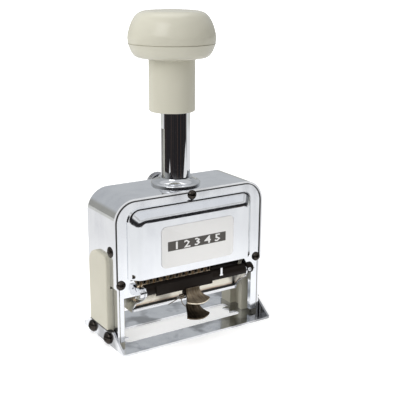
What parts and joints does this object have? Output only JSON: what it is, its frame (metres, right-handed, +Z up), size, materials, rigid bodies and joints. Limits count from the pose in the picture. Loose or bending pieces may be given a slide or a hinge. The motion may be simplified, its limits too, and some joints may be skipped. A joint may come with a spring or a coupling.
{
  "type": "hand numbering machine",
  "caption": "Hand numbering machine: a palm knob and sprung plunger drive number wheels past a swing-away ink pad, inside a chromed frame on a base plate with a print window.",
  "frame": {"origin": "on the ground, in the middle of the machine's footprint box", "axes": "+X to the machine's right, +Y to its back, +Z up along the plunger; the front with the label faces -Y"},
  "size_m": [0.107, 0.06, 0.1856],
  "materials": {
    "chrome": "bright plated, lightly hazed",
    "steel": "plain steel",
    "wheel_steel": "dark steel with ink in the figures",
    "black_oxide": "black, half gloss",
    "bronze_plate": "dull bronze plating",
    "ivory_plastic": "moulded ivory, satin",
    "knob_plastic": "moulded ivory, half gloss",
    "black_plastic": "matt black",
    "label": "pale satin foil",
    "felt": "cream felt, dry",
    "rubber": "matt"
  },
  "bodies": {
    "frame": {"frame_strap": "chrome", "top_plate": "steel", "guide_collar": "chrome", "front_cover": "chrome", "rear_cover": "chrome", "label_plate": "label", "base_plate": "chrome", "side_cover_left": "ivory_plastic", "side_cover_right": "ivory_plastic", "side_guide_left": "ivory_plastic", "side_guide_right": "ivory_plastic", "front_screws": "black_oxide", "rear_screws": "black_oxide", "base_screws": "black_oxide", "side_screws": "black_oxide", "spring_bridge": "steel", "spring_pin": "steel", "pad_rod": "chrome", "rod_ring": "chrome", "rod_block": "chrome", "rod_screw": "chrome", "stop_bush": "chrome"},
    "plunger": {"plunger_shaft": "chrome", "shaft_plug": "steel", "return_spring": "steel", "knob_body": "knob_plastic", "knob_cap": "knob_plastic", "carriage_yoke": "steel", "stop_pads": "rubber", "wheel_axle": "steel", "spacer_sleeve": "black_oxide", "axle_clip": "steel", "detent_comb": "steel"},
    "wheel_01": {"number_wheel_01": "wheel_steel"},
    "wheel_02": {"number_wheel_02": "wheel_steel"},
    "wheel_03": {"number_wheel_03": "wheel_steel"},
    "wheel_04": {"number_wheel_04": "wheel_steel"},
    "wheel_05": {"number_wheel_05": "wheel_steel"},
    "wheel_06": {"number_wheel_06": "wheel_steel"},
    "wheel_07": {"number_wheel_07": "wheel_steel"},
    "wheel_08": {"number_wheel_08": "wheel_steel"},
    "wheel_09": {"number_wheel_09": "wheel_steel"},
    "wheel_10": {"number_wheel_10": "wheel_steel"},
    "wheel_11": {"number_wheel_11": "wheel_steel"},
    "wheel_12": {"number_wheel_12": "wheel_steel"},
    "pawls": {"pawl_frame": "steel", "pawl_comb": "steel"},
    "pad": {"pad_bar": "black_oxide", "bar_boss": "chrome", "tab_plate": "black_oxide", "bar_clip": "chrome", "pad_tray": "chrome", "pad_carrier": "black_plastic", "ink_pad": "felt", "tab_upper": "bronze_plate", "tab_pin": "steel", "tab_spring": "steel"},
    "lower_tab": {"tab_lower": "bronze_plate"},
    "stop_button": {"stop_button": "chrome"},
    "repeat_dial": {"repeat_dial": "ivory_plastic"}
  },
  "joints": [
    {"name": "plunger_slide", "type": "slide", "parent": "frame", "child": "plunger", "axis": [0, 0, -1], "range_m": [0, 0.026], "stiffness_N_per_m": 700, "springref_m": -0.02, "deforming": ["return_spring"]},
    {"name": "wheel_01_turn", "type": "hinge", "parent": "plunger", "child": "wheel_01", "pos_m": [0, -0.0013, 0.0365], "axis": [1, 0, 0], "continuous": true},
    {"name": "wheel_02_turn", "type": "hinge", "parent": "plunger", "child": "wheel_02", "pos_m": [0, -0.0013, 0.0365], "axis": [1, 0, 0], "continuous": true},
    {"name": "wheel_03_turn", "type": "hinge", "parent": "plunger", "child": "wheel_03", "pos_m": [0, -0.0013, 0.0365], "axis": [1, 0, 0], "continuous": true},
    {"name": "wheel_04_turn", "type": "hinge", "parent": "plunger", "child": "wheel_04", "pos_m": [0, -0.0013, 0.0365], "axis": [1, 0, 0], "continuous": true},
    {"name": "wheel_05_turn", "type": "hinge", "parent": "plunger", "child": "wheel_05", "pos_m": [0, -0.0013, 0.0365], "axis": [1, 0, 0], "continuous": true},
    {"name": "wheel_06_turn", "type": "hinge", "parent": "plunger", "child": "wheel_06", "pos_m": [0, -0.0013, 0.0365], "axis": [1, 0, 0], "continuous": true},
    {"name": "wheel_07_turn", "type": "hinge", "parent": "plunger", "child": "wheel_07", "pos_m": [0, -0.0013, 0.0365], "axis": [1, 0, 0], "continuous": true},
    {"name": "wheel_08_turn", "type": "hinge", "parent": "plunger", "child": "wheel_08", "pos_m": [0, -0.0013, 0.0365], "axis": [1, 0, 0], "continuous": true},
    {"name": "wheel_09_turn", "type": "hinge", "parent": "plunger", "child": "wheel_09", "pos_m": [0, -0.0013, 0.0365], "axis": [1, 0, 0], "continuous": true},
    {"name": "wheel_10_turn", "type": "hinge", "parent": "plunger", "child": "wheel_10", "pos_m": [0, -0.0013, 0.0365], "axis": [1, 0, 0], "continuous": true},
    {"name": "wheel_11_turn", "type": "hinge", "parent": "plunger", "child": "wheel_11", "pos_m": [0, -0.0013, 0.0365], "axis": [1, 0, 0], "continuous": true},
    {"name": "wheel_12_turn", "type": "hinge", "parent": "plunger", "child": "wheel_12", "pos_m": [0, -0.0013, 0.0365], "axis": [1, 0, 0], "continuous": true},
    {"name": "pawl_swing", "type": "hinge", "parent": "plunger", "child": "pawls", "pos_m": [0, -0.0013, 0.0365], "axis": [-1, 0, 0], "range_deg": [0, 18]},
    {"name": "pad_swing", "type": "hinge", "parent": "frame", "child": "pad", "pos_m": [0, -0.017, 0.0325], "axis": [-1, 0, 0], "range_deg": [0, 90]},
    {"name": "lower_tab_pinch", "type": "hinge", "parent": "pad", "child": "lower_tab", "pos_m": [-0.0046, -0.0203, 0.0264], "axis": [-1, 0, 0], "range_deg": [0, 12], "stiffness_Nm_per_rad": 0.03, "springref_deg": -14.32},
    {"name": "stop_button_press", "type": "slide", "parent": "frame", "child": "stop_button", "axis": [0, -1, 0], "range_m": [0, 0.003], "stiffness_N_per_m": 400, "springref_m": -0.003},
    {"name": "repeat_dial_turn", "type": "hinge", "parent": "frame", "child": "repeat_dial", "pos_m": [0.022, 0.0231, 0.054], "axis": [0, 1, 0], "continuous": true}
  ],
  "couplings": [
    {"joint": "pad_swing", "follows": "plunger_slide", "rad_per_m": 60.4},
    {"joint": "pawl_swing", "follows": "plunger_slide", "rad_per_m": 12.08}
  ]
}
